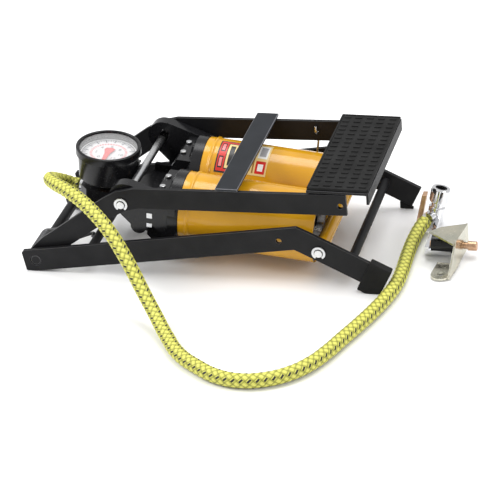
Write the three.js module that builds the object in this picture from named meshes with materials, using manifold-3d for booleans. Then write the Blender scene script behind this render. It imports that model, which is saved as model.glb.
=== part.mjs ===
// Twin-barrel foot pump with a dial gauge, a braided hose and a thumb-lock chuck.
// Millimetres, +Z up. X runs along the pump from the hinged heel to the feet, -Y is the hose side.
import * as THREE from 'three';
import { mergeVertices } from 'three/addons/utils/BufferGeometryUtils.js';
import Module from 'manifold-3d';

const wasm = await Module();
wasm.setup();

// ---- driving dimensions -------------------------------------------------------------------
const SIDES = [['near', -1], ['far', 1]];
const GAP = 0.3; // gap kept between pieces that touch

const HEEL = [9.5, 9.5]; // [x, z] of the hinge between the two frames
const AXLE = [231, 31]; // [x, z] of the axle that the piston rods turn on
const HEAD_PIN = [81, 59]; // [x, z] of the shaft that pushes the pump heads
const PUMP_TILT = THREE.MathUtils.degToRad(6); // the barrels fall towards the feet
const ORIGIN = new THREE.Vector3(141.7, 0, 0); // centre of the pump's footprint

const BASE_OUT = 65.6; // half width over the base arms
const PEDAL_OUT = 60; // half width over the pedal arms
const PLATE = 3; // thickness of the pressed arms
const BASE_BAR = 18; // height of a base arm's bar
const PEDAL_BAR = 16.5; // height of a pedal arm's bar
const SHAFT_R = 3;
const SHAFT_HOLE_R = 3.4;
const HEEL_R = 4; // the hinge shaft is thicker than the other two

const BARREL_Y = 28.5; // barrel axes either side of the middle
const BARREL_R = 27;
const BORE_R = 25.8;
const BARREL_START = -110; // along the barrel axis, measured from the axle
const BARREL_END = -7.5;
const ROD_R = 4;
const TUBE_R = 5.2; // cross tube that joins the two piston rods

const GAUGE_X = -180.6; // gauge axis along the pump, measured from the axle
const GAUGE_R = 25;
const MANIFOLD_TOP = -6;
const HOSE_R = 5.5;

// ---- materials ----------------------------------------------------------------------------
function finish(color, roughness, metalness) {
  return new THREE.MeshStandardMaterial({ color, roughness, metalness });
}
const BLACK_PAINT = finish(0x1d1d1f, 0.45, 0.3);
const DARK_STRAP = finish(0x3e3e46, 0.5, 0.3);
const YELLOW_PAINT = finish(0xe1a523, 0.25, 0.1);
const STEEL = finish(0xb9bcc0, 0.3, 1);
const ZINC_YELLOW = finish(0xb9ad7c, 0.35, 1);
const CHROME = finish(0xd5d8dc, 0.12, 1);
const COPPER = finish(0xb5703f, 0.35, 1);
const BLACK_PLASTIC = finish(0x17181a, 0.4, 0);
const BLACK_RUBBER = finish(0x141414, 0.8, 0);
const DIAL_WHITE = finish(0xf0f0ee, 0.5, 0);
const CLEAR_LENS = finish(0xdfe6ea, 0.08, 0);
const NEEDLE_RED = finish(0xc22a2a, 0.45, 0);
const BRAID = finish(0xe1dc5a, 0.7, 0);
const LABEL = finish(0xece4cc, 0.4, 0);
const SPRING_STEEL = finish(0x2a2a2d, 0.4, 0.8);

// ---- small makers -------------------------------------------------------------------------
function solid(geometry) {
  const bare = geometry.clone();
  bare.deleteAttribute('normal');
  bare.deleteAttribute('uv');
  const merged = mergeVertices(bare, 1e-3);
  return new wasm.Manifold(new wasm.Mesh({
    numProp: 3,
    vertProperties: new Float32Array(merged.attributes.position.array),
    triVerts: new Uint32Array(merged.index.array),
  }));
}

function geometryOf(body) {
  const mesh = body.getMesh();
  const geometry = new THREE.BufferGeometry();
  geometry.setAttribute('position', new THREE.BufferAttribute(mesh.vertProperties, 3));
  geometry.setIndex(new THREE.BufferAttribute(mesh.triVerts, 1));
  return geometry;
}

function cut(geometry, ...tools) {
  return geometryOf(tools.reduce((body, tool) => body.subtract(solid(tool)), solid(geometry)));
}

function join(geometry, ...others) {
  return geometryOf(others.reduce((body, other) => body.add(solid(other)), solid(geometry)));
}

function named(name, geometry, material) {
  const mesh = new THREE.Mesh(geometry, material);
  mesh.name = name;
  return mesh;
}

// A round bar along Y, from y0 to y1, through [x, z].
function barY(radius, y0, y1, [x, z], sides = 24) {
  const geometry = new THREE.CylinderGeometry(radius, radius, y1 - y0, sides);
  return geometry.translate(x, (y0 + y1) / 2, z);
}

// A round bar along X, from x0 to x1, through y, z.
function barX(radius, x0, x1, y, z, sides = 24) {
  const geometry = new THREE.CylinderGeometry(radius, radius, x1 - x0, sides).rotateZ(-Math.PI / 2);
  return geometry.translate((x0 + x1) / 2, y, z);
}

// A round bar along Z.
function barZ(radius, z0, z1, x, y, sides = 24) {
  const geometry = new THREE.CylinderGeometry(radius, radius, z1 - z0, sides).rotateX(Math.PI / 2);
  return geometry.translate(x, y, (z0 + z1) / 2);
}

function block([x0, x1], [y0, y1], [z0, z1]) {
  const geometry = new THREE.BoxGeometry(x1 - x0, y1 - y0, z1 - z0);
  return geometry.translate((x0 + x1) / 2, (y0 + y1) / 2, (z0 + z1) / 2);
}

// A profile drawn in X and Z, given depth along Y from y0 to y1.
function slabY(shape, y0, y1, curveSegments = 8) {
  const options = { depth: y1 - y0, bevelEnabled: false, curveSegments };
  return new THREE.ExtrudeGeometry(shape, options).rotateX(Math.PI / 2).translate(0, y1, 0);
}

// A profile drawn in X and Y, given depth along Z from z0 to z1.
function slabZ(shape, z0, z1, curveSegments = 8) {
  const options = { depth: z1 - z0, bevelEnabled: false, curveSegments };
  return new THREE.ExtrudeGeometry(shape, options).translate(0, 0, z0);
}

// A profile drawn in Y and Z, given depth along X from x0 to x1.
function slabX(shape, x0, x1, curveSegments = 8) {
  const options = { depth: x1 - x0, bevelEnabled: false, curveSegments };
  const turn = new THREE.Matrix4().makeBasis(
    new THREE.Vector3(0, 1, 0),
    new THREE.Vector3(0, 0, 1),
    new THREE.Vector3(1, 0, 0),
  );
  return new THREE.ExtrudeGeometry(shape, options).applyMatrix4(turn).translate(x0, 0, 0);
}

// A turned piece about Y from a profile of [distance along, radius]. A profile that starts and ends
// on the axis makes a solid; any other is closed into a ring.
function turned(profile, segments) {
  const points = profile.map(([along, r]) => new THREE.Vector2(r, along));
  if (THREE.ShapeUtils.area(points) < 0) points.reverse();
  if (points[0].x > 0) points.push(points[0]);
  return new THREE.LatheGeometry(points, segments);
}

function turnedX(profile, segments = 32) {
  return turned(profile, segments).rotateZ(-Math.PI / 2);
}

function turnedZ(profile, segments = 32) {
  return turned(profile, segments).rotateX(Math.PI / 2);
}

function polygon(points) {
  return new THREE.Shape(points.map(([x, y]) => new THREE.Vector2(x, y)));
}

function circleHole(shape, [x, y], radius) {
  const hole = new THREE.Path();
  hole.absarc(x, y, radius, 0, Math.PI * 2, true);
  shape.holes.push(hole);
}

// The outline of a flat bar that follows a path of [x, z] points. Its start is rounded, or runs on
// past the first point and is cut square with small chamfers.
function barOutline(path, halfWidth, runOn = 0) {
  const along = path.map(([x, z]) => new THREE.Vector2(x, z));
  const upper = [];
  const lower = [];
  along.forEach((point, i) => {
    const before = along[Math.max(i - 1, 0)];
    const after = along[Math.min(i + 1, along.length - 1)];
    const into = point.clone().sub(before).normalize();
    const out = after.clone().sub(point).normalize();
    const run = into.add(out).normalize();
    const side = new THREE.Vector2(-run.y, run.x);
    const step = after.clone().sub(point).normalize();
    const straight = i === 0 || i === along.length - 1;
    const mitre = straight ? 1 : 1 / Math.abs(run.dot(step));
    upper.push(point.clone().addScaledVector(side, halfWidth * mitre));
    lower.push(point.clone().addScaledVector(side, -halfWidth * mitre));
  });
  const run = along[1].clone().sub(along[0]).normalize();
  const side = new THREE.Vector2(-run.y, run.x);
  const start = (back, out) => along[0].clone().addScaledVector(run, -back).addScaledVector(side, out);
  const chamfer = 1.6;
  const square = [start(runOn - chamfer, halfWidth), start(runOn, halfWidth - chamfer),
    start(runOn, chamfer - halfWidth), start(runOn - chamfer, -halfWidth)];
  const shape = new THREE.Shape();
  if (runOn > 0) shape.setFromPoints(square);
  else shape.absarc(along[0].x, along[0].y, halfWidth, run.angle() + Math.PI / 2, run.angle() + 1.5 * Math.PI);
  lower.slice(1).forEach((p) => shape.lineTo(p.x, p.y));
  upper.slice(1).reverse().forEach((p) => shape.lineTo(p.x, p.y));
  shape.closePath();
  return shape;
}

// The outline of a slot of the given radius from one [x, z] point to another.
function stadium([x0, z0], [x1, z1], radius) {
  const across = Math.atan2(z1 - z0, x1 - x0) + Math.PI / 2;
  const shape = new THREE.Shape();
  shape.absarc(x0, z0, radius, across, across + Math.PI, false);
  shape.absarc(x1, z1, radius, across + Math.PI, across + 2 * Math.PI, false);
  shape.closePath();
  return shape;
}

function smoothThrough(points) {
  return new THREE.CatmullRomCurve3(points.map((p) => new THREE.Vector3(...p)));
}

// A round wire or hose of the given radius that follows a curve.
function tube(curve, radius, sides, steps) {
  const section = new THREE.Shape();
  for (let i = 0; i < sides; i += 1) {
    const angle = (2 * Math.PI * i) / sides;
    const x = radius * Math.cos(angle);
    const y = radius * Math.sin(angle);
    if (i === 0) section.moveTo(x, y);
    else section.lineTo(x, y);
  }
  section.closePath();
  return new THREE.ExtrudeGeometry(section, { steps, bevelEnabled: false, extrudePath: curve });
}

// ---- base frame ---------------------------------------------------------------------------
const BASE_PEAK = [213.7, 41.6];
const FOOT = [277.3, 10.4]; // middle of a base arm's foot end
const STAY = [51, 16.5];
const FOOT_ROD = [253.9, 23.4];
const LATCH_HOLE = [201.4, 38.8];

function baseArm(side) {
  const path = [HEEL, [206, 40.3], BASE_PEAK, [221, 38.3], FOOT];
  const shape = barOutline(path, BASE_BAR / 2, 9.6);
  circleHole(shape, HEEL, HEEL_R + 0.4);
  circleHole(shape, AXLE, SHAFT_HOLE_R);
  circleHole(shape, LATCH_HOLE, 2.2);
  const inner = side * (BASE_OUT - PLATE);
  const outer = side * BASE_OUT;
  const arm = slabY(shape, Math.min(inner, outer), Math.max(inner, outer), 10);
  const floorGap = block([-20, 60], [-90, 90], [-20, 0.4]);
  return cut(arm, floorGap);
}

// The near foot's rubber boot: a cap in line with the leg, flat where it meets the floor.
function footBoot() {
  const wall = 1.8;
  const leg = new THREE.Vector2(FOOT[0] - BASE_PEAK[0], FOOT[1] - BASE_PEAK[1]).normalize();
  const up = new THREE.Vector2(-leg.y, leg.x);
  const corner = (s, n) => [FOOT[0] + leg.x * s + up.x * n, FOOT[1] + leg.y * s + up.y * n];
  const cap = (s0, s1, n0, n1) => polygon([corner(s0, n0), corner(s1, n0), corner(s1, n1), corner(s0, n1)]);
  const half = BASE_BAR / 2;
  const outside = slabY(cap(-14, 3, -15, half + 2), -BASE_OUT - wall - GAP, -BASE_OUT + PLATE + wall + GAP);
  const pocket = slabY(cap(-20, GAP, -half - GAP, half + GAP), -BASE_OUT - GAP, -BASE_OUT + PLATE + GAP);
  const below = block([200, 320], [-90, -40], [-30, 0]);
  return cut(outside, pocket, below);
}

// The far foot's low rubber pad, under the leg's lower corner.
function footPad() {
  const leg = (FOOT[1] - BASE_PEAK[1]) / (FOOT[0] - BASE_PEAK[0]);
  const under = (x) => 1.7 + (x - 273.5) * leg; // just below the leg's lower edge
  const [x0, x1] = [264, 274.5];
  const shape = polygon([[x0, 0], [x1, 0], [x1, under(x1)], [x0, under(x0)]]);
  return slabY(shape, BASE_OUT - PLATE, BASE_OUT);
}

// A spring clip with an open mouth, in a shaft's end groove.
function shaftClip(y0, y1, [x, z]) {
  const ring = new THREE.Shape();
  const mouth = 0.55;
  ring.absarc(x, z, 5.3, mouth - Math.PI / 2, 1.5 * Math.PI - mouth, false);
  ring.absarc(x, z, SHAFT_R + GAP, 1.5 * Math.PI - mouth, mouth - Math.PI / 2, true);
  ring.closePath();
  return slabY(ring, y0, y1, 10);
}

function baseFrame() {
  const group = new THREE.Group();
  const inside = BASE_OUT - PLATE - GAP;
  SIDES.forEach(([word, side]) => {
    group.add(named(`base_arm_${word}`, baseArm(side), BLACK_PAINT));
    const clip = side < 0 ? [-BASE_OUT - 1.1, -BASE_OUT - GAP] : [BASE_OUT + GAP, BASE_OUT + 1.1];
    group.add(named(`axle_clip_${word}`, shaftClip(...clip, AXLE), STEEL));
  });
  group.add(named('heel_shaft', barY(HEEL_R, -BASE_OUT + 0.2, BASE_OUT - 0.2, HEEL), BLACK_PAINT));
  group.add(named('stay_rod', barY(3.5, -inside, inside, STAY, 16), BLACK_PAINT));
  group.add(named('foot_tie_rod', barY(3.4, -inside, inside, FOOT_ROD, 16), BLACK_PAINT));
  group.add(named('rod_axle', barY(SHAFT_R, -BASE_OUT - 2, BASE_OUT + 2, AXLE), STEEL));
  group.add(named('foot_boot_near', footBoot(), BLACK_RUBBER));
  group.add(named('foot_pad_far', footPad(), BLACK_RUBBER));
  return group;
}

// ---- pedal frame --------------------------------------------------------------------------
const PEDAL_END = 252.4; // x of the pedal arms' free ends
const LATCH_PIVOT = [203, 66];
const STRAP_X = [155, 172];
const STRAP_Z = 75;
const PLATE_X = [223.3, 269.5];
const PLATE_Z = 77.2;

function pedalArm(side) {
  const path = [HEEL, [20, 19.6], [70, 55.1], [80, 61.2], [93, 64.4], [PEDAL_END, 68.3]];
  const shape = barOutline(path, PEDAL_BAR / 2);
  circleHole(shape, HEEL, HEEL_R + 0.4);
  circleHole(shape, HEAD_PIN, SHAFT_HOLE_R);
  if (side > 0) circleHole(shape, LATCH_PIVOT, 1.6);
  else circleHole(shape, [247.9, 67.5], 2.2);
  const inner = side * (PEDAL_OUT - PLATE);
  const outer = side * PEDAL_OUT;
  return slabY(shape, Math.min(inner, outer), Math.max(inner, outer), 10);
}

// The pressed pedal: a flat top with a flange turned down along its left and right edges.
function pedalPlate() {
  const [x0, x1] = PLATE_X;
  const top = PLATE_Z + 2;
  const flange = [[x0, top], [x0, 69], [x0 + 2, 69], [x0 + 2, PLATE_Z], [x1 - 2, PLATE_Z],
    [x1 - 2, 70], [x1, 70], [x1, top]];
  const wide = slabY(polygon(flange), -PEDAL_OUT, PEDAL_OUT);
  const slots = SIDES.map(([, side]) => {
    const y = [side * (PEDAL_OUT - PLATE - 0.5), side * (PEDAL_OUT + 1)].sort((a, b) => a - b);
    return block([x0 - 1, x0 + 3], y, [60, PLATE_Z - 0.4]);
  });
  return cut(wide, ...slots);
}

function pedalPad() {
  const [x0, x1] = PLATE_X;
  return block([x0 + 0.4, x1 - 0.4], [-PEDAL_OUT + 0.5, PEDAL_OUT - 0.5], [PLATE_Z + 2.3, PLATE_Z + 4.6]);
}

// The return spring: coils round the heel shaft, one leg on the stay rod, one under the pedal arm.
function returnSpring(side) {
  const coil = 7;
  const turns = 9;
  const outerY = 55;
  const innerY = 30;
  const points = [[58, innerY - 1, 22.8], [38, innerY - 1, 21.5], [22, innerY - 0.5, 18.9]];
  const perTurn = 8;
  const start = Math.PI * 0.42;
  for (let i = 0; i <= turns * perTurn; i += 1) {
    const angle = start + (2 * Math.PI * i) / perTurn;
    const y = innerY + ((outerY - innerY) * i) / (turns * perTurn);
    points.push([HEEL[0] + coil * Math.cos(angle), y, HEEL[1] + coil * Math.sin(angle)]);
  }
  points.push([24, outerY, 19.2], [40, outerY, 24.5], [51, outerY, 29], [55, outerY + 0.8, 30.6], [56, 61, 31]);
  return tube(smoothThrough(points.map(([x, y, z]) => [x, side * y, z])), 1.2, 6, 110);
}

// The transport latch: a wire that turns in the far pedal arm, its tip at the base arm's latch hole.
function latchWire() {
  const y = (PEDAL_OUT + BASE_OUT - PLATE) / 2;
  const [x, z] = LATCH_PIVOT;
  const [tipX, tipZ] = LATCH_HOLE;
  const points = [[x, PEDAL_OUT - PLATE - 2.2, z + 6], [x, PEDAL_OUT - PLATE - 2.2, z + 1.5],
    [x, PEDAL_OUT - PLATE - 0.6, z], [x, y - 1.6, z], [x, y, z - 1.6], [x, y, z - 8],
    [tipX, y, tipZ + 8], [tipX, y, tipZ]];
  return tube(smoothThrough(points), 0.95, 8, 36);
}

function pedalFrame() {
  const group = new THREE.Group();
  SIDES.forEach(([word, side]) => {
    group.add(named(`pedal_arm_${word}`, pedalArm(side), BLACK_PAINT));
    group.add(named(`return_spring_${word}`, returnSpring(side), SPRING_STEEL));
    const clip = side < 0 ? [-PEDAL_OUT - 1.1, -PEDAL_OUT - GAP] : [PEDAL_OUT + GAP, PEDAL_OUT + 1.1];
    group.add(named(`head_shaft_clip_${word}`, shaftClip(...clip, HEAD_PIN), STEEL));
  });
  const strap = block(STRAP_X, [-PEDAL_OUT - 1, PEDAL_OUT + 4], [STRAP_Z, STRAP_Z + 2.2]);
  group.add(named('cross_strap', strap, DARK_STRAP));
  group.add(named('pedal_plate', pedalPlate(), BLACK_PAINT));
  group.add(named('pedal_pad', pedalPad(), BLACK_RUBBER));
  group.add(named('head_shaft', barY(SHAFT_R, -PEDAL_OUT - 2, PEDAL_OUT + 2, HEAD_PIN), STEEL));
  group.add(named('latch_wire', latchWire(), STEEL));
  return group;
}

// ---- pump: barrels, heads and pistons, drawn along the barrel axis with the axle at 0 -------
function toPump([x, z]) {
  const dx = x - AXLE[0];
  const dz = z - AXLE[1];
  const c = Math.cos(PUMP_TILT);
  const s = Math.sin(PUMP_TILT);
  return [dx * c - dz * s, dx * s + dz * c];
}
const LUG = toPump(HEAD_PIN);

function barrel(y) {
  const bead = [BARREL_START + 5, BARREL_START + 8];
  const profile = [[BARREL_START, BORE_R], [BARREL_END, BORE_R], [BARREL_END, BARREL_R], [bead[1], BARREL_R],
    [bead[1] - 0.6, BARREL_R + 1], [bead[0] + 0.6, BARREL_R + 1], [bead[0], BARREL_R], [BARREL_START, BARREL_R]];
  return turnedX(profile, 40).translate(0, y, 0);
}

// The end guide that keeps the piston rod in line, with breather notches at its rim.
function rodGuide(y) {
  const disc = turnedX([[BARREL_END - 5, 4.4], [BARREL_END - 1, 4.4], [BARREL_END - 1, BORE_R - GAP],
    [BARREL_END - 5, BORE_R - GAP]], 32).translate(0, y, 0);
  const holes = [0, 1, 2, 3].map((i) => {
    const angle = Math.PI / 4 + (i * Math.PI) / 2;
    return barX(4, BARREL_END - 6, BARREL_END, y + 15 * Math.cos(angle), 15 * Math.sin(angle), 12);
  });
  return cut(disc, ...holes);
}

// The moulded head: a round cover on the barrel, a deep block behind it, and a lug for the head shaft.
function head(side) {
  const y = side * BARREL_Y;
  const cover = turnedX([[BARREL_START + 2.5, 0], [BARREL_START + 2.5, BORE_R - GAP],
    [BARREL_START - GAP, BORE_R - GAP], [BARREL_START - GAP, BARREL_R + 0.6], [BARREL_START - 8, BARREL_R + 0.6],
    [BARREL_START - 11, BARREL_R - 4], [BARREL_START - 11, 0]], 32).translate(0, y, 0);
  const back = polygon([[-112, -21], [-112, 18], [-129, 18], [-133, 12], [-135, -16], [-130, -21]]);
  const yIn = side * 8;
  const yOut = side * 50;
  const core = slabY(back, Math.min(yIn, yOut), Math.max(yIn, yOut));
  const lugShape = new THREE.Shape();
  lugShape.moveTo(-112, 17);
  lugShape.lineTo(LUG[0] + 4, LUG[1] + 15);
  lugShape.absarc(LUG[0] + 1.2, LUG[1] + 2.6, 12.2, Math.PI * 0.42, Math.PI * 1.2, false);
  lugShape.lineTo(-146, -6);
  lugShape.absarc(-140, -7, 6, Math.PI, Math.PI * 1.9, false);
  lugShape.lineTo(-130, -4);
  lugShape.lineTo(-112, -18);
  lugShape.closePath();
  const lugY = [side * 46.5, side * 55.5].sort((a, b) => a - b);
  const lug = slabY(lugShape, ...lugY, 10);
  const slot = stadium(LUG, [LUG[0] + 2.3, LUG[1] + 5.2], SHAFT_HOLE_R + 0.15);
  const airway = barX(2, -140, -100, y, MANIFOLD_TOP - 6, 12);
  const body = join(cover, core, lug);
  return cut(body, slabY(slot, lugY[0] - 2, lugY[1] + 2, 10), airway);
}

function checkValve(y) {
  return turnedX([[BARREL_START + 2.9, 2], [BARREL_START + 3.7, 2], [BARREL_START + 3.7, 12],
    [BARREL_START + 2.9, 12]], 20).translate(0, y, 0);
}

// The air manifold: a flat T that joins the heads and carries the gauge and the hose barb.
function manifold() {
  const shape = polygon([[-136, -42], [-136, 42], [-147, 42], [-158, 17], [-194, 15], [-200, 9], [-200, -9],
    [-194, -15], [-158, -17], [-147, -42]]);
  const plate = slabZ(shape, MANIFOLD_TOP - 12, MANIFOLD_TOP);
  const boss = barZ(10, MANIFOLD_TOP - 0.5, MANIFOLD_TOP + 1.2, GAUGE_X, 0);
  const ribTop = MANIFOLD_TOP + 6;
  const ribs = [-30, 30].map((y) => block([-152, -137], [y - 2, y + 2], [MANIFOLD_TOP - 0.5, ribTop]));
  const middle = MANIFOLD_TOP - 6;
  const trunk = barX(2.5, -210, -142, 0, middle, 12);
  const gallery = barY(2.5, -BARREL_Y, BARREL_Y, [-142, middle], 12);
  const inlets = [-BARREL_Y, BARREL_Y].map((y) => barX(2, -142, -130, y, middle, 12));
  const riser = barZ(2.5, middle, MANIFOLD_TOP + 4, GAUGE_X, 0, 12);
  return cut(join(plate, boss, ...ribs), trunk, gallery, ...inlets, riser);
}

function headScrews() {
  const group = new THREE.Group();
  [-36, -20, 20, 36].forEach((y, i) => {
    const crown = barZ(2.3, 18 + GAP, 19.8, -127, y, 12);
    group.add(named(`head_screw_${i + 1}`, crown, STEEL));
  });
  return group;
}

function gauge() {
  const group = new THREE.Group();
  const foot = MANIFOLD_TOP + 1.2 + GAP;
  const caseFoot = foot + 2.6 + GAP;
  const rim = 26.5;
  const stem = turnedZ([[foot, 2.5], [caseFoot + 6, 2.5], [caseFoot + 6, 4.5], [caseFoot - GAP, 4.5],
    [caseFoot - GAP, 8], [foot, 8]], 12);
  const caseWall = turnedZ([[caseFoot, 5], [caseFoot + 1.5, 5], [caseFoot + 1.5, 21], [rim - 1.4, 22.3],
    [rim - 1.4, 23.8], [caseFoot, 22.6]], 40);
  const bezel = turnedZ([[rim - 6, 24.2], [rim - 1, 24.2], [rim - 1, 22.6], [rim, 22.6], [rim, 24.4],
    [rim - 0.6, GAUGE_R], [rim - 6, GAUGE_R]], 40);
  const lens = barZ(22, rim - 2.6, rim - 1.6, 0, 0, 40);
  const dial = turnedZ([[rim - 7.3, 1.2], [rim - 6.7, 1.2], [rim - 6.7, 21.7], [rim - 7.3, 21.7]], 40);
  group.add(named('gauge_stem', stem, COPPER));
  group.add(named('gauge_case', caseWall, BLACK_PLASTIC));
  group.add(named('gauge_bezel', bezel, BLACK_PLASTIC));
  group.add(named('gauge_lens', lens, CLEAR_LENS));
  group.add(named('gauge_dial', dial, DIAL_WHITE));
  group.add(named('gauge_arbor', barZ(0.8, rim - 14, rim - 6.2, 0, 0, 10), STEEL));
  group.add(named('gauge_needle', needle(rim - 5.9), NEEDLE_RED));
  group.add(named('bourdon_tube', bourdonTube(caseFoot + 6), COPPER));
  group.position.set(GAUGE_X, 0, 0);
  return group;
}

// The pointer: a hub, a long taper to its tip and a broad short tail.
function needle(z) {
  const shape = polygon([[3.2, 1], [4, 4.6], [1.5, 6], [-3, 5.4], [-4, 2.6], [-2.2, -3], [-0.8, -18.6], [0.4, -19],
    [1.4, -18.4], [2, -3]]);
  return slabZ(shape, z, z + 0.5);
}

// The pressure element: a flattened tube bent round in a C.
function bourdonTube(z) {
  const points = [];
  for (let i = 0; i <= 12; i += 1) {
    const angle = -0.6 * Math.PI + (1.3 * Math.PI * i) / 12;
    points.push([13.5 * Math.cos(angle), 13.5 * Math.sin(angle), z]);
  }
  return tube(smoothThrough(points), 2.2, 8, 20);
}

function hoseEnd() {
  const group = new THREE.Group();
  const z = MANIFOLD_TOP - 6;
  const barb = turnedX([[-200 - GAP, 2], [-200 - GAP, 4.6], [-203.2, 4.6], [-203.2, 2]], 16).translate(0, 0, z);
  group.add(named('hose_barb', barb, COPPER));
  return group;
}

// A label: a thin curved plate on the far barrel's upper side.
function label([x0, x1], [a0, a1]) {
  const shape = new THREE.Shape();
  shape.absarc(0, 0, BARREL_R + 0.65, a0, a1, false);
  shape.absarc(0, 0, BARREL_R + GAP, a1, a0, true);
  shape.closePath();
  return slabX(shape, x0, x1, 12).translate(0, BARREL_Y, 0);
}

function piston(y) {
  const x = BARREL_START + 5;
  const disc = turnedX([[x, 0], [x, BORE_R - 0.5], [x + 2.5, BORE_R - 0.5], [x + 2.5, BORE_R - 3],
    [x + 6.5, BORE_R - 3], [x + 6.5, BORE_R - 0.5], [x + 9, BORE_R - 0.5], [x + 9, 0]], 32);
  return disc.translate(0, y, 0);
}

function pistonSeal(y) {
  const x = BARREL_START + 7.5 + GAP;
  const ring = turnedX([[x, BORE_R - 3 + GAP], [x + 3.4, BORE_R - 3 + GAP], [x + 3.4, BORE_R - GAP],
    [x, BORE_R - GAP]], 32);
  return ring.translate(0, y, 0);
}

function pump() {
  const group = new THREE.Group();
  SIDES.forEach(([word, side]) => {
    const y = side * BARREL_Y;
    group.add(named(`barrel_${word}`, barrel(y), YELLOW_PAINT));
    group.add(named(`rod_guide_${word}`, rodGuide(y), BLACK_PLASTIC));
    group.add(named(`head_${word}`, head(side), BLACK_PLASTIC));
    group.add(named(`check_valve_${word}`, checkValve(y), BLACK_RUBBER));
    group.add(named(`piston_${word}`, piston(y), BLACK_PLASTIC));
    group.add(named(`piston_seal_${word}`, pistonSeal(y), BLACK_RUBBER));
    const rod = barX(ROD_R, BARREL_START + 14 + GAP, -TUBE_R - GAP, y, 0, 20);
    group.add(named(`piston_rod_${word}`, rod, STEEL));
  });
  const tube = new THREE.Shape();
  tube.absarc(0, 0, TUBE_R, 0, 2 * Math.PI, false);
  circleHole(tube, [0, 0], SHAFT_HOLE_R);
  group.add(named('cross_tube', slabY(tube, -57, 57, 12), YELLOW_PAINT));
  group.add(named('air_manifold', manifold(), BLACK_PLASTIC));
  group.add(named('label_badge', label([-99, -83], [1.48, 2.6]), LABEL));
  group.add(named('label_data', label([-80, -59], [1.4, 2.55]), LABEL));
  group.add(headScrews());
  group.add(gauge());
  group.add(hoseEnd());
  group.rotation.y = PUMP_TILT;
  group.position.set(AXLE[0], 0, AXLE[1]);
  return group;
}

// ---- hose and chuck -----------------------------------------------------------------------
// The hose's lead bends as the pedal opens, and its run stays on the floor, so they are two nodes
// that meet face to face.
const HOSE_ROUTE = [[26.2, 0, 40.5], [21.5, 0, 41.4], [15.6, -5.1, 46.3], [12, -16.3, 53.6],
  [15.6, -30.2, 60.3], [25.3, -44.7, 64.7], [38.4, -56.8, 66.5], [53.9, -69.4, 65.4],
  [68.4, -81.8, 61.7], [82, -93, 54.5], [94, -103.5, 44], [104, -112.5, 33], [113.5, -122, 22.5],
  [124.5, -134, 13], [138.5, -153.5, 7.3], [153.5, -173.5, 5.6], [171.5, -188.3, 5.6],
  [188, -198, 5.6], [205, -201.3, 5.6], [221, -198, 5.6], [236, -189, 5.6], [248, -175, 5.6],
  [256.5, -158, 5.6], [263, -139, 5.6], [269.5, -119, 5.6], [275.5, -98, 5.6], [281.9, -79.8, 5.6],
  [286, -62.5, 5.6], [284.8, -44, 5.6], [283.8, -26, 5.6], [284.2, -8, 5.8], [285.8, 10, 6.6],
  [288, 21, 7.6], [290.2, 29, 8.3]];
const HOSE_SPLIT = 0.540; // share of the hose's length
const NOZZLE = [294.6, 42.2, 1.6]; // middle of the chuck nozzle's foot
const NOZZLE_LEAN = [-0.147, 0.218]; // turns about X and then Y
const LEVER_PIN = [-5, 9.5]; // [y, z] of the lever's pin

// A stretch of a longer curve, between two shares of its length.
class Stretch extends THREE.Curve {
  constructor(whole, from, to) {
    super();
    Object.assign(this, { whole, from, to });
  }

  getPoint(t, target) {
    return this.whole.getPointAt(this.from + (this.to - this.from) * t, target);
  }
}

function hose() {
  const group = new THREE.Group();
  const whole = smoothThrough(HOSE_ROUTE);
  const lead = new Stretch(whole, 0, HOSE_SPLIT);
  const run = new Stretch(whole, HOSE_SPLIT + 0.0005, 1);
  group.add(named('hose_lead', tube(lead, HOSE_R, 10, 48), BRAID));
  group.add(named('hose_run', tube(run, HOSE_R, 10, 36), BRAID));
  return group;
}

function lean(geometry) {
  const [aboutX, aboutY] = NOZZLE_LEAN;
  return geometry.rotateX(aboutX).rotateY(aboutY).translate(...NOZZLE);
}

// The chuck: a leaning nozzle with the hose in its side, and a saddle for the lever's cam beside it.
function chuck() {
  const group = new THREE.Group();
  const nozzle = lean(turnedZ([[0, 0], [0, 5.8], [1, 6.4], [13, 6.4], [14, 5.2], [16.5, 5.2], [17.2, 7],
    [18.6, 7.5], [27.6, 7.5], [28.5, 6.9], [28.5, 4.6], [15, 4.6], [15, 0]], 28));
  const socket = new THREE.CylinderGeometry(4.8, 4.8, 9, 16).rotateZ(-0.35).translate(293, 37.9, 8.4);
  const neck = block([297.2, 300.5], [-8, 40], [2.5, 8]);
  const [y, z] = LEVER_PIN;
  const ring = new THREE.Shape();
  ring.absarc(y, z, 8.5, Math.PI * 1.05, Math.PI * 1.95, false);
  ring.absarc(y, z, 7.3, Math.PI * 1.95, Math.PI * 1.05, true);
  ring.closePath();
  const saddle = slabX(ring, 299.5, 318, 14);
  group.add(named('chuck_body', join(nozzle, socket, neck, saddle), CHROME));
  const seal = lean(turnedZ([[16, 2.9], [25, 2.9], [25, 4.3], [16, 4.3]], 16));
  group.add(named('chuck_seal', seal, BLACK_RUBBER));
  group.add(named('chuck_clip', slabY(polygon([[281.8, 3], [285.8, 3], [290.8, 26.5], [287.2, 26.5]]), 37, 44.5),
    COPPER));
  const pin = turnedX([[301, 0], [301, 2.5], [329.6, 2.5], [329.6, 3.6], [336, 3.6], [336.6, 3],
    [336.6, 0]], 16);
  group.add(named('lever_pin', pin.translate(0, y, z), COPPER));
  const roller = turnedX([[302.5, 2.8], [320.3, 2.8], [320.3, 7], [302.5, 7]], 28);
  group.add(named('cam_roller', roller.translate(0, y, z), BLACK_PLASTIC));
  group.add(named('chuck_lever', chuckLever(), ZINC_YELLOW));
  return group;
}

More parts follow.
